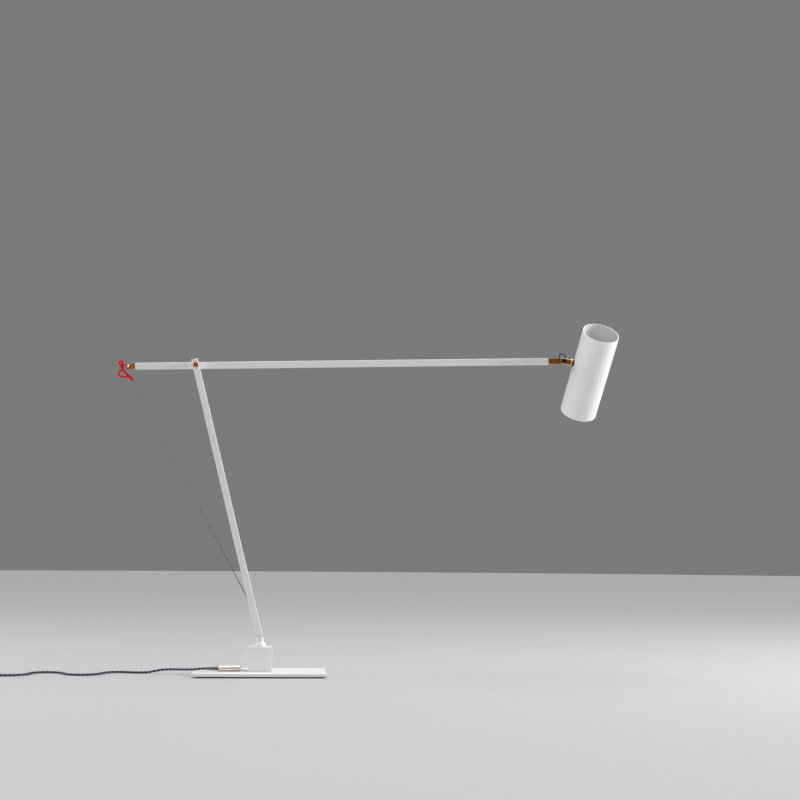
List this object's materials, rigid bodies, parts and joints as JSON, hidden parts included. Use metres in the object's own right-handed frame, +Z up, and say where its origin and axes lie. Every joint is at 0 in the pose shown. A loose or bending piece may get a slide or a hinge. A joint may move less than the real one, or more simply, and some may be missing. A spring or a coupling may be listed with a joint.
{
  "type": "table lamp",
  "caption": "Table lamp with a leaning square post on a swivel block, a long arm held by a sprung tie wire, a tilting tube shade and a dimmer on its base.",
  "frame": {"origin": "centre of the base pad's underside, on the table", "axes": "+Z up, +X towards the shade, along the base plate's length, +Y away from the viewer of the picture"},
  "size_m": [1.0207, 0.1536, 0.5441],
  "materials": {
    "white_steel": "satin white paint",
    "white_alloy": "satin white paint",
    "brass": "polished",
    "steel": "plain",
    "black_steel": "blackened",
    "black_rubber": "matt",
    "black_plastic": "matt",
    "white_plastic": "matt",
    "white_cable": "satin",
    "navy_cord": "braided textile over a rubber core",
    "red_plastic": "gloss",
    "grey_alloy": "anodised",
    "bright_alloy": "bright",
    "green_board": "matt",
    "yellow_chip": "satin",
    "frosted": "frosted"
  },
  "bodies": {
    "base": {"base_plate": "white_steel", "base_pad": "black_rubber", "socket_block": "white_steel", "block_screws": "steel", "dimmer_body": "brass", "dimmer_board": "green_board", "cord_gland": "black_rubber", "base_lead": "white_cable", "cord_run": "navy_cord", "cord_coil": "navy_cord", "coil_tie": "black_rubber", "cord_tail": "navy_cord", "plug_body": "black_plastic", "plug_pins": "steel"},
    "button": {"dimmer_button": "brass"},
    "swivel": {"swivel_stem": "white_steel", "thrust_washer": "white_plastic", "wave_washer": "steel", "swivel_nut": "steel", "knuckle_pin": "white_steel"},
    "post": {"post_knuckle": "steel", "post_tube": "white_alloy", "post_grub_screws": "steel", "post_cap": "brass", "post_lead": "black_rubber", "pivot_bolt": "brass", "pivot_washer": "brass", "pivot_spring_washer": "steel", "pivot_nut": "brass", "spring_stop_pin": "steel", "counter_spring": "steel"},
    "slider": {"wire_slider": "brass"},
    "arm": {"arm_tube": "white_alloy", "arm_bush": "brass", "arm_lead": "black_rubber", "head_plug": "brass", "tail_plug": "brass", "tail_screw": "steel", "lead_loop": "black_rubber"},
    "tie": {"red_link": "red_plastic", "wire_ferrule": "steel", "tie_wire": "steel"},
    "head": {"head_fork": "brass", "tilt_screw": "black_steel", "tilt_nut": "black_steel", "neck_nut": "steel"},
    "shade": {"saddle_ring": "black_plastic", "shade_tube": "white_alloy", "inner_saddle": "black_plastic", "heat_sink": "grey_alloy", "head_lead": "black_rubber", "led_board": "green_board", "led_chip": "yellow_chip", "reflector": "bright_alloy", "diffuser": "frosted", "retaining_ring": "white_plastic"}
  },
  "joints": [
    {"name": "base_swivel", "type": "hinge", "parent": "base", "child": "swivel", "pos_m": [0, 0, 0.0435], "axis": [0, 0, 1], "range_deg": [-170, 170]},
    {"name": "post_tilt", "type": "hinge", "parent": "swivel", "child": "post", "pos_m": [0, 0, 0.054], "axis": [0, 1, 0], "range_deg": [-20, 14]},
    {"name": "arm_pivot", "type": "hinge", "parent": "post", "child": "arm", "pos_m": [-0.10403, 0.011, 0.47123], "axis": [0, 1, 0], "range_deg": [-18, 18]},
    {"name": "tie_pivot", "type": "hinge", "parent": "arm", "child": "tie", "pos_m": [-0.20698, 0.002, 0.46803], "axis": [0, 1, 0], "range_deg": [-17.5, 17.5]},
    {"name": "wire_slide", "type": "slide", "parent": "post", "child": "slider", "axis": [-0.2419, 0, 0.9703], "range_m": [-0.0305, 0.0305], "deforming": ["counter_spring"]},
    {"name": "head_tilt", "type": "hinge", "parent": "arm", "child": "head", "pos_m": [0.46778, 0.011, 0.4862], "axis": [0, 1, 0], "range_deg": [-70, 70], "deforming": ["lead_loop"]},
    {"name": "head_swivel", "type": "hinge", "parent": "head", "child": "shade", "pos_m": [0.46778, 0.011, 0.4862], "axis": [0.9848, 0, -0.1736], "range_deg": [-160, 160]},
    {"name": "dimmer_press", "type": "slide", "parent": "base", "child": "button", "axis": [0, 0, -1], "range_m": [0, 0.0006], "stiffness_N_per_m": 300}
  ],
  "couplings": [
    {"joint": "tie_pivot", "follows": "arm_pivot", "ratio": -0.945},
    {"joint": "wire_slide", "follows": "arm_pivot", "m_per_rad": 0.0942}
  ]
}
